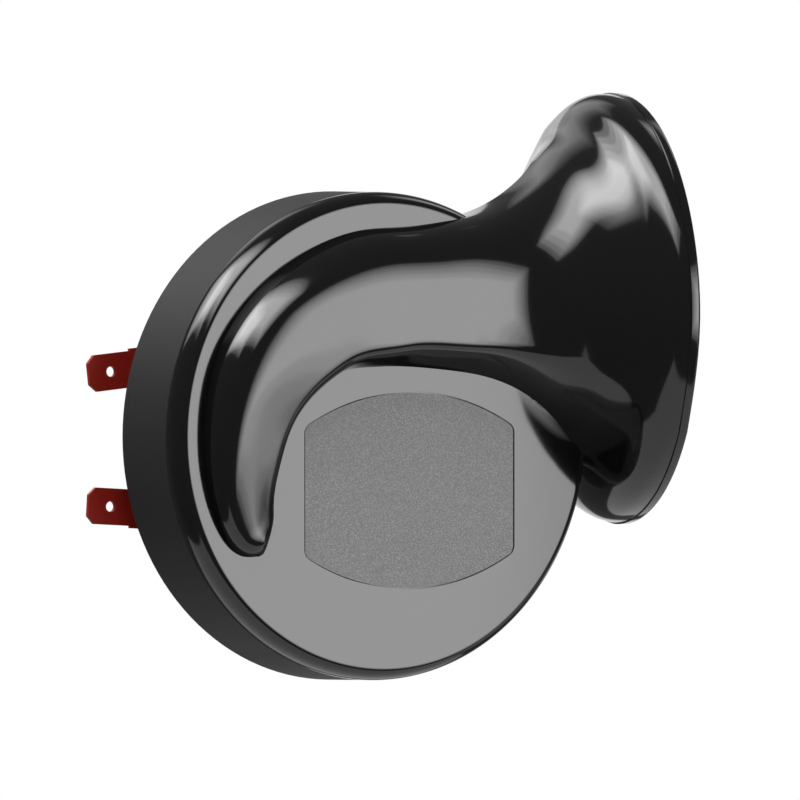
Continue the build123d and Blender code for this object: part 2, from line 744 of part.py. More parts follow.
write(terminal_tab("upper"), "terminal_tab_upper")
write(terminal_tab("lower"), "terminal_tab_lower")
write(terminal_rivets(), "terminal_rivets")
write(terminal_washers(), "terminal_washers")
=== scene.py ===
from math import cos, pi, radians, sin, sqrt

import bmesh
import bpy
import numpy as np
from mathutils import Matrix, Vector


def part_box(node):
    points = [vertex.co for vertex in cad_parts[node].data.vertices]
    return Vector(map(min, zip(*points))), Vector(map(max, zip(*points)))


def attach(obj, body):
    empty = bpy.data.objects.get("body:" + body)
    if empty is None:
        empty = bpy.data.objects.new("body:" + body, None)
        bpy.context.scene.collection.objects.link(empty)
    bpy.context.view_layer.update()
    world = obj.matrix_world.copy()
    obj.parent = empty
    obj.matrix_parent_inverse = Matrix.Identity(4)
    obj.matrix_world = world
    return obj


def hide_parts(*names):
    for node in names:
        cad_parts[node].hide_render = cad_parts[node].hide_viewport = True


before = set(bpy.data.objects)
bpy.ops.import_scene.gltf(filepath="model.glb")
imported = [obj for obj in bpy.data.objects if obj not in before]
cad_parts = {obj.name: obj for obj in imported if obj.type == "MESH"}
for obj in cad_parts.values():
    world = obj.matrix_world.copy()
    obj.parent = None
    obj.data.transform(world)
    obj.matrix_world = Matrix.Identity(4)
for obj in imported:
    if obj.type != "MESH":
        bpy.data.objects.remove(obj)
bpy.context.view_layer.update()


# ---- Camera --------------------------------------------------------------------------------
# A long lens, level with the horn and a third of a right angle to its left, looks at the disc
# and the outside of the bell.
mm = 0.001
nut_back = 46.1             # mm from the flat face back to the stud's seat, the part's origin
camera_at = (-0.37599, -0.59045, 0.00624)        # m from the middle of the flat face
camera_turn = radians(-32.62)
to_camera = Vector((sin(camera_turn), -cos(camera_turn), 0))
lens = bpy.data.cameras.new("camera")
lens.lens = 182.6
lens.sensor_width = 36
lens.clip_start = 0.05
lens.clip_end = 20
camera = bpy.data.objects.new("camera", lens)
camera.location = (camera_at[0], camera_at[1] - nut_back * mm, camera_at[2])
camera.rotation_euler = to_camera.to_track_quat("Z", "Y").to_euler()
bpy.context.scene.collection.objects.link(camera)
bpy.context.scene.camera = camera


# ---- Studio --------------------------------------------------------------------------------
# A white card stands behind the horn and another is the floor, well below it. Soft boxes light
# it: a large one right of the camera that the flat face mirrors, a long one high on the left
# with a bright middle, and smaller ones low and high on the right and high behind.
room_grey = (0.12, 0.12, 0.123, 1)
card_white = (1, 1, 1, 1)
card_paper = (0.8, 0.8, 0.8, 1)
backdrop_distance = 2.5
box_distance = 1.3
box_layers = 5
layer_gap = 0.01
layer_shrink = 0.7          # share of its size that a box loses from its first layer to its last
box_aim = Vector((0, -0.04, 0))

bpy.context.scene.view_settings.view_transform = "Standard"


class Socket:
    """One output of a node. Python's + and * on it add Math nodes."""

    def __init__(self, finish, socket):
        self.finish = finish
        self.socket = socket

    def sibling(self, name):
        """Another output of the same node."""
        return Socket(self.finish, self.socket.node.outputs[name])

    def math(self, operation, value):
        return self.finish.node("ShaderNodeMath", {"operation": operation}, {0: self, 1: value})

    def __add__(self, value):
        return self.math("ADD", value)

    def __mul__(self, value):
        return self.math("MULTIPLY", value)

    __radd__ = __add__
    __rmul__ = __mul__


class Finish:
    """A node tree that is filled by one method."""

    def __init__(self, tree):
        self.tree = tree
        self.tree.nodes.clear()

    def node(self, kind, settings, inputs, output=0):
        """Add a node, with its settings first and then values or links for its sockets."""
        made = self.tree.nodes.new(kind)
        for key, value in settings.items():
            if key == "stops":
                ramp = made.color_ramp
                while len(ramp.elements) < len(value):
                    ramp.elements.new(0.5)
                for element, (place, shade) in zip(ramp.elements, value):
                    element.position = place
                    element.color = (shade, shade, shade, 1)
            else:
                setattr(made, key, value)
        for key, value in inputs.items():
            if isinstance(value, Socket):
                self.tree.links.new(value.socket, made.inputs[key])
            else:
                made.inputs[key].default_value = value
        return Socket(self, made.outputs[output]) if made.outputs else None


world = bpy.data.worlds.new("studio")
bpy.context.scene.world = world
world.use_nodes = True
room = Finish(world.node_tree)
seen = room.node("ShaderNodeLightPath", {}, {}, "Is Camera Ray")
dim = room.node("ShaderNodeBackground", {}, {"Color": room_grey, "Strength": 1})
white = room.node("ShaderNodeBackground", {}, {"Color": card_white, "Strength": 1})
walls = room.node("ShaderNodeMixShader", {}, {0: seen, 1: dim, 2: white})
room.node("ShaderNodeOutputWorld", {}, {"Surface": walls})


def card(name, centre, facing, width, height):
    """Matte sheet that is plain white to the camera and in reflections."""
    facing = Vector(facing).normalized()
    upright = Vector((0, 0, 1)) if abs(facing.z) < 0.9 else Vector((0, 1, 0))
    across = facing.cross(upright).normalized()
    up = across.cross(facing)
    corners = [Vector(centre) + across * width * x / 2 + up * height * y / 2
               for x, y in ((-1, -1), (1, -1), (1, 1), (-1, 1))]
    mesh = bpy.data.meshes.new(name)
    mesh.from_pydata(corners, [], [(0, 1, 2, 3)])
    sheet = bpy.data.objects.new(name, mesh)
    bpy.context.scene.collection.objects.link(sheet)
    coat = bpy.data.materials.new(name)
    coat.use_nodes = True
    paper = Finish(coat.node_tree)
    matte = paper.node("ShaderNodeBsdfDiffuse", {}, {"Color": card_paper})
    glow = paper.node("ShaderNodeEmission", {}, {"Color": card_white, "Strength": 1})
    from_camera = paper.node("ShaderNodeLightPath", {}, {}, "Is Camera Ray")
    direct = from_camera + from_camera.sibling("Is Glossy Ray")
    direct = (direct + from_camera.sibling("Is Transmission Ray")).math("MINIMUM", 1)
    mixed = paper.node("ShaderNodeMixShader", {}, {0: direct, 1: matte, 2: glow})
    paper.node("ShaderNodeOutputMaterial", {}, {"Surface": mixed})
    mesh.materials.append(coat)


card("floor", centre=(0, 0, -1.0), facing=(0, 0, 1), width=2.4, height=2.4)
card("backdrop", centre=-to_camera * backdrop_distance, facing=to_camera, width=2.4, height=2.0)


def soft_box(name, azimuth, elevation, width, height, radiance):
    """Lamp that faces the horn. Azimuth 0 is straight in front and 90 is to the right. Layers
    of falling size, one behind the other, make it brightest in the middle."""
    turn = radians(azimuth)
    rise = radians(elevation)
    towards = Vector((sin(turn) * cos(rise), -cos(turn) * cos(rise), sin(rise)))
    for layer in range(box_layers):
        share = 1 - layer_shrink * layer / box_layers
        lamp = bpy.data.lights.new(name, "AREA")
        lamp.shape = "RECTANGLE"
        lamp.size = width * share
        lamp.size_y = height * share
        lamp.energy = radiance * pi * lamp.size * lamp.size_y / box_layers
        holder = bpy.data.objects.new(name, lamp)
        holder.location = towards * (box_distance + layer_gap * layer) + box_aim
        holder.rotation_euler = towards.to_track_quat("Z", "Y").to_euler()
        bpy.context.scene.collection.objects.link(holder)


soft_box("face_box", azimuth=27, elevation=0, width=0.90, height=0.95, radiance=7.0)
soft_box("low_wide_box", azimuth=62, elevation=-26, width=0.70, height=0.60, radiance=1.0)
soft_box("low_right_box", azimuth=108, elevation=-16, width=0.72, height=0.28, radiance=1.2)
soft_box("high_right_box", azimuth=100, elevation=46, width=0.6, height=0.6, radiance=2.2)
soft_box("high_left_box", azimuth=-80, elevation=60, width=3.4, height=0.85, radiance=8.5)
soft_box("high_left_core", azimuth=-100, elevation=50, width=1.0, height=0.60, radiance=6.0)
soft_box("back_box", azimuth=176, elevation=34, width=0.70, height=0.95, radiance=1.0)


# ---- Front shell ---------------------------------------------------------------------------
# One gloss black plastic moulding: the flat face with its rounded shoulder, the spiral sound
# channel on it, and the bell that the channel widens into. The rear shell's tongue centres it.
wall = 2.0                  # mm, as all lengths here, from the face's middle and with +y backwards
face_r = 40.0
shoulder_run = 2.3          # how far the shoulder reaches outwards
shoulder_y = 3.6            # and backwards
rim_in_r = 40.1             # inner side of the rim behind the shoulder
floor_y = 5.0               # front of the rear shell's plate, which closes the channel
plate_r = 38.35             # inside this the plate stands, within the tongue
plate_room_back = 40.0      # well behind the shell
channel_r = 38.0
channel_w = 23.8
crest_h = 8.0               # height of the channel over the face
crest_round = 1.8           # rounding between the crest and the inner side
channel_back = 7.3          # depth of the channel behind the face
plug_in = 0.9               # how far inside the channel's outer skin the face plate ends
mouth = (53.2, 9.8, 22.8)
mouth_r = 39.1
mouth_turn = 14.2           # degrees that the mouth is turned towards the front
mouth_lean = 1.6            # degrees that its top leans to the left
lip_start = 0.12
lip_land = 1.8              # straight land at the mouth
lip_round = 0.6             # rounding of the land's outer edge
lip_in_round = 0.4          # and of its inner edge
axis_r = 0.001              # stands for a radius of nothing, so that rings stay rings

# Places round a section, in degrees from straight outwards: over the crest, down the inner
# side and along the back.
CREST_TURNS = (-25, -12, 10, 38, 64, 95, 125)
INNER_TURNS = (125, 129, 134, 141, 158, 180, 205)
BACK_TURNS = (205, 238, 270, 302, 335)
EDGE_STEPS = (48, 28, 20)

# Rounding between the crest and the inner side: outwards and forwards, in shares of its radius.
CREST_BEND = ((0.64, 0), (0.26, -0.07), (-0.06, -0.28), (-0.27, -0.58))

# The channel's tail and its run over the disc: angle on the face, outer and inner side as
# shares of channel_r, crest as a share of crest_h, outer and inner rounding of channel_w.
TAIL = (
    (216.9, 0.888, 0.840, 0.16, 0.030, 0.030),
    (215.7, 0.916, 0.800, 0.28, 0.080, 0.080),
    (213.6, 0.950, 0.757, 0.40, 0.110, 0.110),
    (211.2, 0.968, 0.731, 0.43, 0.112, 0.095),
)
SPIRAL = (
    (208.8, 0.978, 0.712, 0.44, 0.110, 0.082),
    (205, 0.985, 0.688, 0.47, 0.115, 0.085),
    (190, 0.985, 0.598, 0.60, 0.135, 0.100),
    (175, 0.980, 0.530, 0.71, 0.160, 0.118),
    (160, 0.980, 0.468, 0.81, 0.190, 0.123),
    (145, 0.966, 0.421, 0.88, 0.230, 0.110),
    (130, 0.950, 0.384, 0.93, 0.260, 0.107),
    (115, 0.943, 0.343, 0.97, 0.285, 0.108),
    (100, 0.945, 0.320, 0.99, 0.295, 0.114),
)

# The bell: share of the way to the mouth, radius as a share of mouth_r, lift and depth of its
# axis, how round its front and its back are, and then the arched section that it grows from:
# height, outer and inner rounding, depth of its sides and of its middle.
BELL = (
    (0.038, 0.308, 1.3, 9.0, 0.00, 0.00, 8.0, 7.2, 3.1, 7.3, 7.3),
    (0.207, 0.330, 1.6, 8.4, 0.00, 0.00, 8.3, 8.0, 3.4, 7.3, 7.3),
    (0.360, 0.370, 1.8, 7.7, 0.15, 0.00, 9.0, 9.0, 4.2, 7.3, 7.5),
    (0.490, 0.440, 2.0, 7.1, 0.35, 0.00, 10.5, 11.0, 5.6, 7.3, 8.5),
    (0.602, 0.545, 2.1, 7.2, 0.60, 0.06, 13.0, 14.0, 9.0, 7.4, 10.0),
    (0.696, 0.665, 2.0, 7.2, 0.80, 0.40, 16.0, 18.0, 13.0, 8.0, 14.5),
    (0.790, 0.806, 1.4, 7.7, 0.95, 0.85, 19.5, 20.0, 15.0, 10.0, 26.0),
)

# The flare: share of the way, radius, lift and depth of its axis, and fullness of its front.
FLARE = (
    (0.865, 0.922, 0.8, -2.2, 0.920),
    (0.930, 0.979, 0.3, -1.3, 0.945),
    (1.000, 0.994, 0.0, 0.0, 1.0),
)
LIP = (1.0, 1.0, 0.0, 0.0, 1.0)


def spline(points, places=None, count=None):
    """Natural cubic through points, at places along it or at a count of even steps."""
    points = np.array(points, float)
    flat = points.reshape(len(points), -1)
    steps = np.sqrt((np.diff(flat, axis=0) ** 2).sum(1))
    knots = np.concatenate([[0], np.cumsum(steps)])
    if places is None:
        places = np.linspace(0, knots[-1], count)
    system = np.eye(len(points))
    right = np.zeros(flat.shape)
    for i in range(1, len(points) - 1):
        system[i, i - 1:i + 2] = steps[i - 1], 2 * (steps[i - 1] + steps[i]), steps[i]
        right[i] = 6 * ((flat[i + 1] - flat[i]) / steps[i] - (flat[i] - flat[i - 1]) / steps[i - 1])
    bend = np.linalg.solve(system, right)
    span = np.clip(np.searchsorted(knots, places, side="right") - 1, 0, len(steps) - 1)
    step = steps[span]
    a = (knots[span + 1] - places) / step
    b = 1 - a
    part = (a[:, None] * flat[span] + b[:, None] * flat[span + 1]
            + ((a ** 3 - a) * step ** 2 / 6)[:, None] * bend[span]
            + ((b ** 3 - b) * step ** 2 / 6)[:, None] * bend[span + 1])
    return part.reshape((len(places),) + points.shape[1:])


def arch(half, height, outer_run, inner_run, side_back, mid_back, inset):
    """Section across the channel as (outwards, forwards) points, in three edges: over the
    crest, down the inner side and along the back."""
    half -= inset
    height -= inset
    side_back -= inset
    mid_back -= inset
    outer_run = max(outer_run - inset, 0.4)
    crest_out = half - outer_run
    crest_in = inner_run - half
    swell = 0.015 * half
    bend = min(crest_round, 0.4 * height, 0.7 * inner_run, 0.6 * (crest_out - crest_in))
    top = height - swell
    rounding = [(crest_in + out * bend, top + rise * bend) for out, rise in CREST_BEND]
    foot = rounding[-1]
    over = [(half, -side_back)]
    for turn in (0, 30, 60, 90):
        over.append((crest_out + outer_run * cos(radians(turn)), height * sin(radians(turn))))
    over += [((crest_out + crest_in) / 2, height + swell), rounding[0]]
    down = rounding + [((foot[0] - half) / 2 - 0.03 * height, foot[1] / 2), (-half, 0), (-half, -side_back)]
    belly = side_back + 0.75 * (mid_back - side_back)
    along = [down[-1], (-half / 2, -belly), (0, -mid_back), (half / 2, -belly), over[0]]
    return over, down, along


def ring(radius, axis_back, turns):
    """Edge of a round section."""
    return [(radius * cos(radians(t)), radius * sin(radians(t)) - axis_back) for t in turns]


def mixed_edge(first, second, share):
    return [((1 - share) * a[0] + share * b[0], (1 - share) * a[1] + share * b[1])
            for a, b in zip(first, second)]


def section(origin, outwards, forwards, edges):
    """Closed row of points from the three edges of a section."""
    flat = np.concatenate([spline(edge, count=steps + 1)[:-1]
                           for edge, steps in zip(edges, EDGE_STEPS)])
    return np.array(origin) + flat[:, :1] * outwards + flat[:, 1:] * forwards


def spiral_section(row, inset):
    """Section of the channel on the disc, square to its run."""
    angle, outer, inner, crest, outer_run, inner_run = row
    outer_r = outer * channel_r
    inner_r = inner * channel_r
    outwards = np.array([cos(radians(angle)), 0, sin(radians(angle))])
    edges = arch((outer_r - inner_r) / 2, crest * crest_h, outer_run * channel_w,
                 inner_run * channel_w, channel_back, channel_back, inset)
    return section(outwards * (outer_r + inner_r) / 2, outwards, np.array([0, -1, 0]), edges)


def bell_frame(share):
    """Directions outwards, forwards and ahead at a share of the way to the mouth."""
    turn = radians(mouth_turn) * share ** 2
    lean = radians(mouth_lean) * share ** 2
    outwards = np.array([-sin(lean), 0, cos(lean)])
    return outwards, np.array([-sin(turn), -cos(turn), 0]), np.array([cos(turn), -sin(turn), 0])


def bell_section(row, inset):
    """Section of the bell on its way from the channel's arch to a round."""
    share, radius, lift, axis_back, round_front, round_back = row[:6]
    outwards, forwards, ahead = bell_frame(share)
    over, down, along = arch(radius * mouth_r, *row[6:], inset)
    full = [ring(radius * mouth_r - inset, axis_back, turns)
            for turns in (CREST_TURNS, INNER_TURNS, BACK_TURNS)]
    edges = [mixed_edge(over, full[0], round_front), mixed_edge(down, full[1], round_front),
             mixed_edge(along, full[2], round_back)]
    edges[0][0] = edges[2][-1]
    edges[1][-1] = edges[2][0]
    return section((share * mouth[0], 0, mouth[2] + lift), outwards, forwards, edges)


def flare_section(row, inset, beyond=0.0):
    """Section of the flare or its lip, square to the way that the mouth looks."""
    share, radius, lift, axis_back, fullness = row
    outwards, forwards, ahead = bell_frame(share)
    origin = np.array([share * mouth[0], mouth[1] + axis_back, mouth[2] + lift]) + ahead * beyond
    edges = []
    for turns in (CREST_TURNS, INNER_TURNS, BACK_TURNS):
        full = ring(radius * mouth_r - inset, 0, turns)
        edges.append([(out, front * fullness if front > 0 else front) for out, front in full])
    return section(origin, outwards, forwards, edges)


def duct_rows(inset, start, count):
    """Rows of the duct's surface from its tail to the rim of the flare."""
    rows = [spiral_section(row, inset) for row in start + SPIRAL]
    rows += [bell_section(row, inset) for row in BELL]
    rows += [flare_section(row, inset) for row in FLARE]
    return spline(rows, count=count)


def placed_mesh(name, points, faces):
    """Object in the part's frame from points in mm with y = 0 on the flat face."""
    mesh = bpy.data.meshes.new(name)
    mesh.from_pydata([(x * mm, (y - nut_back) * mm, z * mm) for x, y, z in points], [], faces)
    shape = bmesh.new()
    shape.from_mesh(mesh)
    bmesh.ops.remove_doubles(shape, verts=shape.verts, dist=1e-7)
    bmesh.ops.recalc_face_normals(shape, faces=shape.faces)
    shape.to_mesh(mesh)
    shape.free()
    made = bpy.data.objects.new(name, mesh)
    bpy.context.scene.collection.objects.link(made)
    return made


def solid_of_rows(name, rows):
    """Closed mesh from closed rows of points in mm, with a pole at each end."""
    rows = np.array(rows)
    count, across = rows.shape[:2]
    points = [tuple(p) for p in rows.reshape(-1, 3)]
    points += [tuple(rows[0].mean(0)), tuple(rows[-1].mean(0))]
    faces = []
    for i in range(count - 1):
        for j in range(across):
            k = (j + 1) % across
            faces.append((i * across + j, (i + 1) * across + j, (i + 1) * across + k, i * across + k))
    for j in range(across):
        k = (j + 1) % across
        faces.append((count * across, j, k))
        faces.append((count * across + 1, (count - 1) * across + k, (count - 1) * across + j))
    return placed_mesh(name, points, faces)


def turned(name, profile, around=256):
    """Solid of revolution about the part's Y axis from (radius, y) corners in mm."""
    points = []
    faces = []
    for r, y in profile:
        for i in range(around):
            turn = 2 * pi * i / around
            points.append((r * cos(turn), y, r * sin(turn)))
    rings = len(profile)
    for i in range(rings):
        for j in range(around):
            a, b = i * around, (i + 1) % rings * around
            k = (j + 1) % around
            faces.append((a + j, b + j, b + k, a + k))
    return placed_mesh(name, points, faces)


def settle(piece):
    """Turn an object's modifiers into its plain mesh."""
    ready = piece.evaluated_get(bpy.context.evaluated_depsgraph_get())
    mesh = bpy.data.meshes.new_from_object(ready)
    piece.modifiers.clear()
    piece.data = mesh
    return piece


def cut(target, tool):
    """Cut a tool out of the target and remove it."""
    step = target.modifiers.new("cut", "BOOLEAN")
    step.operation = "DIFFERENCE"
    step.solver = "EXACT"
    step.object = tool
    settle(target)
    bpy.data.objects.remove(tool)


def smooth(piece, angle=32):
    piece.data.shade_smooth()
    piece.data.set_sharp_from_angle(angle=radians(angle))


# The duct is a shell: out along its skin, round the lip and back inside, a wall further in.
outer_rows = list(duct_rows(0, TAIL, count=210))
lip_rows = [flare_section(LIP, 0, lip_start), flare_section(LIP, 0, lip_land - lip_round)]
for turn in (22.5, 45, 67.5, 90):
    inset = lip_round * (1 - cos(radians(turn)))
    lip_rows.append(flare_section(LIP, inset, lip_land - lip_round + lip_round * sin(radians(turn))))
for turn in (0, 30, 60, 90):
    lip_rows.append(flare_section(LIP, wall - lip_in_round + lip_in_round * sin(radians(turn)),
                                  lip_land - lip_in_round + lip_in_round * cos(radians(turn))))
inner_rows = list(duct_rows(wall, (), count=180))[::-1]
front_shell = solid_of_rows("horn_shell", outer_rows + lip_rows + inner_rows)
cut(front_shell, turned("plate_room", [(axis_r, floor_y), (plate_r, floor_y),
                                       (plate_r, plate_room_back), (axis_r, plate_room_back)]))

# The face plate ends inside the duct's wall, so that the channel is open behind its arch. Two
# rings on it, and one just within its edge, keep its triangles even.
shoulder = [(face_r + shoulder_run * sin(radians(t)), shoulder_y * (1 - cos(radians(t))))
            for t in range(0, 91, 5)]
cap = turned("cap", [(axis_r, 0), (10, 0), (25, 0), (face_r - 0.15, 0)] + shoulder
             + [(rim_in_r, shoulder_y), (rim_in_r, wall), (axis_r, wall)], around=360)
plug_rows = [spiral_section(row, plug_in) for row in TAIL[2:] + SPIRAL]
plug_rows += [bell_section(row, plug_in) for row in BELL]
plug_rows += [flare_section(row, plug_in) for row in FLARE]
cut(cap, solid_of_rows("plug", spline(plug_rows, count=160)))

# The recess for the label has the foil's barrel outline, grown by a narrow gap all round.
label_at = (4.2, -9.4)
label_w = 42.8
label_h = 33.8
label_side_h = 22.0
label_round = 1.8
recess_grow = 0.22
recess_depth = 0.7
corner_steps = 10
arc_steps = 24


def label_outline(grow):
    """Barrel outline as (x, z) points: straight sides, arched top and bottom, round corners."""
    half_w = label_w / 2 + grow
    half_side = label_side_h / 2
    rise = label_h / 2 + grow - half_side
    arc_r = (half_w ** 2 + rise ** 2) / (2 * rise)
    centre_z = half_side + rise - arc_r
    radius = label_round + grow
    corner_x = half_w - radius
    corner_z = centre_z + sqrt((arc_r - radius) ** 2 - corner_x ** 2)
    from_turn = np.arctan2(corner_z - centre_z, corner_x)
    points = []
    for turn in np.linspace(0, from_turn, corner_steps):
        points.append((corner_x + radius * cos(turn), corner_z + radius * sin(turn)))
    for turn in np.linspace(from_turn, pi / 2, arc_steps)[1:]:
        points.append((arc_r * cos(turn), centre_z + arc_r * sin(turn)))
    top = points + [(-x, z) for x, z in points[-2::-1]]
    outline = top + [(x, -z) for x, z in top[::-1]]
    return [(label_at[0] + x, label_at[1] + z) for x, z in outline]


def slab(name, outline, front, rear):
    """Flat plate from an outline of (x, z) points in mm."""
    count = len(outline)
    points = [(x, front, z) for x, z in outline] + [(x, rear, z) for x, z in outline]
    faces = [tuple(range(count)), tuple(range(2 * count - 1, count - 1, -1))]
    faces += [(i, i + count, (i + 1) % count + count, (i + 1) % count) for i in range(count)]
    return placed_mesh(name, points, faces)


cut(cap, slab("recess", label_outline(recess_grow), -1, recess_depth))
joined = bmesh.new()
joined.from_mesh(front_shell.data)
joined.from_mesh(cap.data)
joined.to_mesh(front_shell.data)
joined.free()
bpy.data.objects.remove(cap)
smooth(front_shell)


def material(name):
    made = bpy.data.materials.new(name)
    made.use_nodes = True
    return made, Finish(made.node_tree)


def surface(finish, **inputs):
    """Principled surface with its sockets named by their words joined by underscores."""
    named = {key.replace("_", " "): value for key, value in inputs.items()}
    bsdf = finish.node("ShaderNodeBsdfPrincipled", {}, named)
    finish.node("ShaderNodeOutputMaterial", {}, {"Surface": bsdf})


def noise(finish, scale, detail=2.0, roughness=0.5):
    at = finish.node("ShaderNodeTexCoord", {}, {}, "Object")
    sizes = {"Vector": at, "Scale": scale, "Detail": detail, "Roughness": roughness}
    return finish.node("ShaderNodeTexNoise", {}, sizes)


def bump(finish, height, strength, distance):
    sizes = {"Height": height, "Strength": strength, "Distance": distance}
    return finish.node("ShaderNodeBump", {}, sizes)


# Polished plastic with a faint cloudiness in its gloss and a very slight waviness.
gloss_black, gloss = material("gloss_black")
cloud = noise(gloss, scale=90, detail=3)
wave = noise(gloss, scale=220, detail=1)
surface(gloss, Base_Color=(0.004, 0.004, 0.0042, 1), Roughness=0.075 + 0.03 * cloud,
        Normal=bump(gloss, wave, strength=0.05, distance=0.0001))
front_shell.data.materials.clear()
front_shell.data.materials.append(gloss_black)
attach(front_shell, "housing")
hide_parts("front_shell")


# ---- Face label ----------------------------------------------------------------------------
# A blank grey foil, cut to a barrel shape and glued into the shallow recess of the face. Its
# surface is satin with a fine speckle.
label_foil, foil = material("label_foil")
grain = noise(foil, scale=4200, detail=1, roughness=0.6)
speck = noise(foil, scale=7600, detail=0)
shade = foil.node("ShaderNodeValToRGB", {"stops": [(0.3, 0.07), (0.5, 0.115), (0.68, 0.24)]},
                  {"Fac": 0.55 * grain + 0.45 * speck})
surface(foil, Base_Color=shade, Roughness=0.34 + 0.2 * grain,
        Normal=bump(foil, speck, strength=0.5, distance=0.00005))


def dress(coat, *names):
    """Give CAD nodes one material."""
    for name in names:
        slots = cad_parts[name].data.materials
        slots.clear()
        slots.append(coat)


dress(label_foil, "face_label")


# ---- Rear shell ----------------------------------------------------------------------------
# The matte black plastic moulding behind: skirt, ribs, channel floor and diaphragm seat. Its
# tool was spark eroded, which leaves a fine even grain.
def plain(name, colour, metallic, roughness, grain, depth, **more):
    """Material of one colour, with a noise of scale grain in its roughness and its height."""
    made, finish = material(name)
    pattern = noise(finish, scale=grain)
    surface(finish, Base_Color=(*colour, 1), Metallic=metallic, Roughness=roughness + 0.12 * pattern,
            Normal=bump(finish, pattern, strength=0.3, distance=depth), **more)
    return made


dress(plain("matte_black", (0.011, 0.011, 0.0115), metallic=0, roughness=0.5, grain=3000, depth=5e-5,
            Specular_IOR_Level=0.3), "rear_shell")


# ---- Diaphragm and its gaskets -------------------------------------------------------------
# A corrugated disc of thin spring steel sounds the horn. Its edge is clamped between two rings
# of grey gasket paper.
dress(plain("gasket_paper", (0.12, 0.12, 0.12), metallic=0, roughness=0.82, grain=1800, depth=8e-5),
      "front_gasket", "rear_gasket")
dress(plain("spring_steel", (0.45, 0.45, 0.46), metallic=1, roughness=0.26, grain=900, depth=1e-5),
      "diaphragm", "contact_arm")


# ---- Armature ------------------------------------------------------------------------------
# A turned and zinc plated plunger, nutted to the diaphragm over a washer. A moulded collar on
# it pushes the breaker's spring leaf.
dress(plain("armature_steel", (0.50, 0.50, 0.51), metallic=1, roughness=0.3, grain=1200, depth=1e-5),
      "armature")
zinc = plain("zinc_steel", (0.56, 0.57, 0.58), metallic=1, roughness=0.24, grain=700, depth=2e-5)
dress(zinc, "armature_washer", "armature_nut", "core_washer", "core_nut", "contact_bracket")
dress(plain("collar_plastic", (0.50, 0.45, 0.33), metallic=0, roughness=0.45, grain=900, depth=3e-5),
      "contact_pusher")


# ---- Motor can -----------------------------------------------------------------------------
# A steel can, deep drawn in two steps with a flange, that holds the coil and the breaker. Its
# black electrophoretic paint shows a faint peel.
dress(plain("can_paint", (0.014, 0.014, 0.015), metallic=0, roughness=0.26, grain=500, depth=4e-5),
      "motor_can")


# ---- Can screws ----------------------------------------------------------------------------
# Six zinc plated pan head screws with a cross recess clamp the can's flange to the rear shell.
# They stand in a circle, each stopped at a turn of its own.
screw_count = 6
screw_circle_r = 33.7
stop_seed = 4
screw_profile = ((0, 1.9), (0.9, 1.84), (1.5, 1.6), (1.95, 1.1), (2.2, 0.55), (2.2, 0), (1.5, 0),
                 (1.5, -6.6), (0.9, -7.8), (0, -7.8))        # radius and y, from under the head
recess_w = 2.7              # width of the cross recess at its top
recess_foot = 0.42          # and the share of it left at its foot
recess_t = 0.62             # thickness of an arm
recess_mid = 1.6            # y of its middle
recess_h = 1.2


def screw_tree():
    """Node tree that sets copies of one screw on a circle about Y."""
    tree = bpy.data.node_groups.new("screw_circle", "GeometryNodeTree")
    sockets = tree.interface
    sockets.new_socket("Geometry", in_out="INPUT", socket_type="NodeSocketGeometry")
    sockets.new_socket("Circle radius", in_out="INPUT", socket_type="NodeSocketFloat")
    sockets.new_socket("Count", in_out="INPUT", socket_type="NodeSocketInt")
    sockets.new_socket("Seat depth", in_out="INPUT", socket_type="NodeSocketFloat")
    sockets.new_socket("Screw", in_out="INPUT", socket_type="NodeSocketObject")
    sockets.new_socket("Coat", in_out="INPUT", socket_type="NodeSocketMaterial")
    sockets.new_socket("Geometry", in_out="OUTPUT", socket_type="NodeSocketGeometry")
    add = tree.nodes.new
    link = tree.links.new
    given = add("NodeGroupInput").outputs
    circle = add("GeometryNodeMeshCircle")
    link(given["Count"], circle.inputs["Vertices"])
    link(given["Circle radius"], circle.inputs["Radius"])
    depth = add("ShaderNodeCombineXYZ")
    link(given["Seat depth"], depth.inputs["Y"])
    stand = add("GeometryNodeTransform")
    stand.inputs["Rotation"].default_value = (pi / 2, 0, 0)
    link(circle.outputs["Mesh"], stand.inputs["Geometry"])
    link(depth.outputs["Vector"], stand.inputs["Translation"])
    chosen = add("GeometryNodeObjectInfo")
    chosen.inputs["As Instance"].default_value = True
    link(given["Screw"], chosen.inputs["Object"])
    stop = add("FunctionNodeRandomValue")
    stop.data_type = "FLOAT_VECTOR"
    stop.inputs["Min"].default_value = (0, 0, 0)
    stop.inputs["Max"].default_value = (0, 2 * pi, 0)
    stop.inputs["Seed"].default_value = stop_seed
    copies = add("GeometryNodeInstanceOnPoints")
    link(stand.outputs["Geometry"], copies.inputs["Points"])
    link(chosen.outputs["Geometry"], copies.inputs["Instance"])
    link(stop.outputs["Value"], copies.inputs["Rotation"])
    real = add("GeometryNodeRealizeInstances")
    link(copies.outputs["Instances"], real.inputs["Geometry"])
    coated = add("GeometryNodeSetMaterial")
    link(real.outputs["Geometry"], coated.inputs["Geometry"])
    link(given["Coat"], coated.inputs["Material"])
    link(coated.outputs["Geometry"], add("NodeGroupOutput").inputs["Geometry"])
    return tree


def grow(name, tree, **values):
    """Plain mesh object from a node tree and values for its named inputs."""
    made = bpy.data.objects.new(name, bpy.data.meshes.new(name))
    bpy.context.scene.collection.objects.link(made)
    step = made.modifiers.new("grow", "NODES")
    step.node_group = tree
    for socket in tree.interface.items_tree:
        key = socket.name.replace(" ", "_")
        if socket.in_out == "INPUT" and key in values:
            step[socket.identifier] = values[key]
    return settle(made)


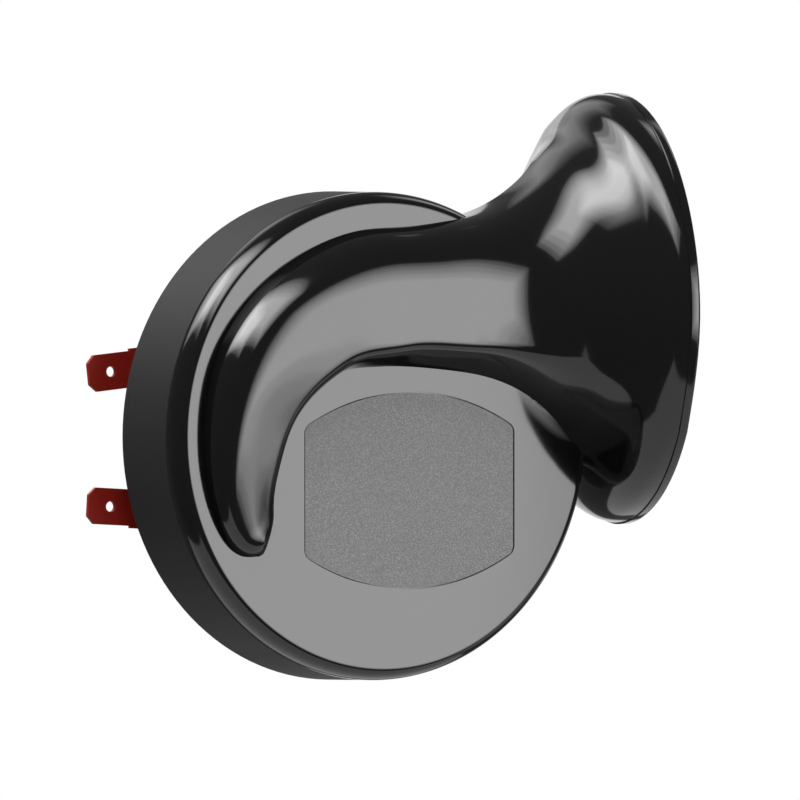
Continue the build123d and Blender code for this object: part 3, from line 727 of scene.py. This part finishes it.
def recess_arm(crosswise):
    """Tapered bar across the screw's head that cuts two arms of its cross recess."""
    block = bmesh.new()
    bmesh.ops.create_cube(block, size=1)
    for corner in block.verts:
        narrow = recess_foot if corner.co.y < 0 else 1
        out = corner.co.x * recess_w * mm * narrow
        side = corner.co.z * recess_t * mm
        y = (recess_mid + recess_h * corner.co.y) * mm
        corner.co = (side, y, -out) if crosswise else (out, y, side)
    mesh = bpy.data.meshes.new("arm")
    block.to_mesh(mesh)
    block.free()
    arm = bpy.data.objects.new("arm", mesh)
    bpy.context.scene.collection.objects.link(arm)
    return arm


one_screw = turned("one_screw", [(max(r, axis_r), y + nut_back) for r, y in screw_profile], around=48)
cut(one_screw, recess_arm(crosswise=False))
cut(one_screw, recess_arm(crosswise=True))
smooth(one_screw)
seat_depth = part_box("can_screws")[1].y - screw_profile[0][1] * mm
screws = grow("can_screw_set", screw_tree(), Circle_radius=screw_circle_r * mm, Count=screw_count,
              Seat_depth=seat_depth, Screw=one_screw, Coat=zinc)
bpy.data.objects.remove(one_screw)
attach(screws, "housing")
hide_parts("can_screws")


# ---- Pole core and stud --------------------------------------------------------------------
# The zinc plated core of the electromagnet ends in an M8 stud with a rolled thread of 1.25 mm
# pitch, chamfered at its tip. A washer and a hexagon nut draw it against the can.
core_r = 8.0
core_chamfer = 0.6
core_len = 11.8             # length inside the can
neck_r = 3.6                # under the washer and the nut
stud_r = 4.0
stud_chamfer = 0.8
thread_pitch = 1.25
thread_depth = 0.72
thread_flat = 0.1           # share of the pitch that is flat at the crest, and at the root
rows_per_pitch = 10
core_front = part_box("pole_core")[0].y / mm + nut_back
stud_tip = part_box("pole_core")[1].y / mm + nut_back
core_back = core_front + core_len


def round_row(radius, y, steps=72):
    """One row of points round the Y axis."""
    turns = [2 * pi * i / steps for i in range(steps)]
    return [(radius * cos(t), y, radius * sin(t)) for t in turns]


def thread_row(y, steps=72):
    """Row across the thread, where the depth follows the helix."""
    row = []
    for i in range(steps):
        phase = (y / thread_pitch - i / steps) % 1
        flank = (abs(2 * phase - 1) - thread_flat) / (1 - 2 * thread_flat)
        limit = min(stud_r, stud_r - stud_chamfer + (stud_tip - y), neck_r + (y - nut_back))
        radius = min(limit, stud_r - thread_depth * min(1, max(0, flank)))
        turn = 2 * pi * i / steps
        row.append((radius * cos(turn), y, radius * sin(turn)))
    return row


core_rows = [round_row(core_r - core_chamfer, core_front), round_row(core_r, core_front + core_chamfer),
             round_row(core_r, core_back), round_row(neck_r, core_back), round_row(neck_r, nut_back - 0.05)]
core_rows += [thread_row(y) for y in np.arange(nut_back, stud_tip - 0.01, thread_pitch / rows_per_pitch)]
core_rows.append(thread_row(stud_tip))
pole = solid_of_rows("pole_core_and_stud", core_rows)
smooth(pole, angle=28)
pole.data.materials.append(zinc)
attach(pole, "housing")
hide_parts("pole_core")


# ---- Coil ----------------------------------------------------------------------------------
# Enamelled copper wire, wound on a pale moulded bobbin that sits round the core in the can's
# narrow cup.
dress(plain("bobbin_plastic", (0.75, 0.72, 0.62), metallic=0, roughness=0.42, grain=800, depth=3e-5),
      "coil_bobbin")
dress(plain("winding", (0.55, 0.20, 0.07), metallic=1, roughness=0.28, grain=2600, depth=6e-5),
      "coil_winding")


# ---- Breaker -------------------------------------------------------------------------------
# A silver contact on a spring leaf meets one on a bent bracket. Brown laminate sheets keep the
# two apart, brass rivets hold the stack, and a brass screw beside it sets the tone.
fibre = plain("fibre", (0.30, 0.14, 0.06), metallic=0, roughness=0.62, grain=1500, depth=5e-5)
brass = plain("brass_plain", (0.62, 0.46, 0.20), metallic=1, roughness=0.27, grain=900, depth=2e-5)
dress(fibre, "contact_insulators", "terminal_washers")
dress(plain("contact_metal", (0.75, 0.73, 0.70), metallic=1, roughness=0.2, grain=900, depth=1e-5),
      "fixed_contact", "moving_contact")
dress(brass, "contact_rivets", "tone_screw", "terminal_rivets")


# ---- Terminals -----------------------------------------------------------------------------
# Two stamped spade tabs with a dark red lacquer. Brass eyelets hold them on a moulded block
# behind the skirt.
dress(plain("block_plastic", (0.02, 0.02, 0.02), metallic=0, roughness=0.48, grain=1500, depth=4e-5),
      "terminal_block")
dress(plain("tab_metal", (0.27, 0.012, 0.006), metallic=0.25, roughness=0.34, grain=900, depth=3e-5),
      "terminal_tab_upper", "terminal_tab_lower")
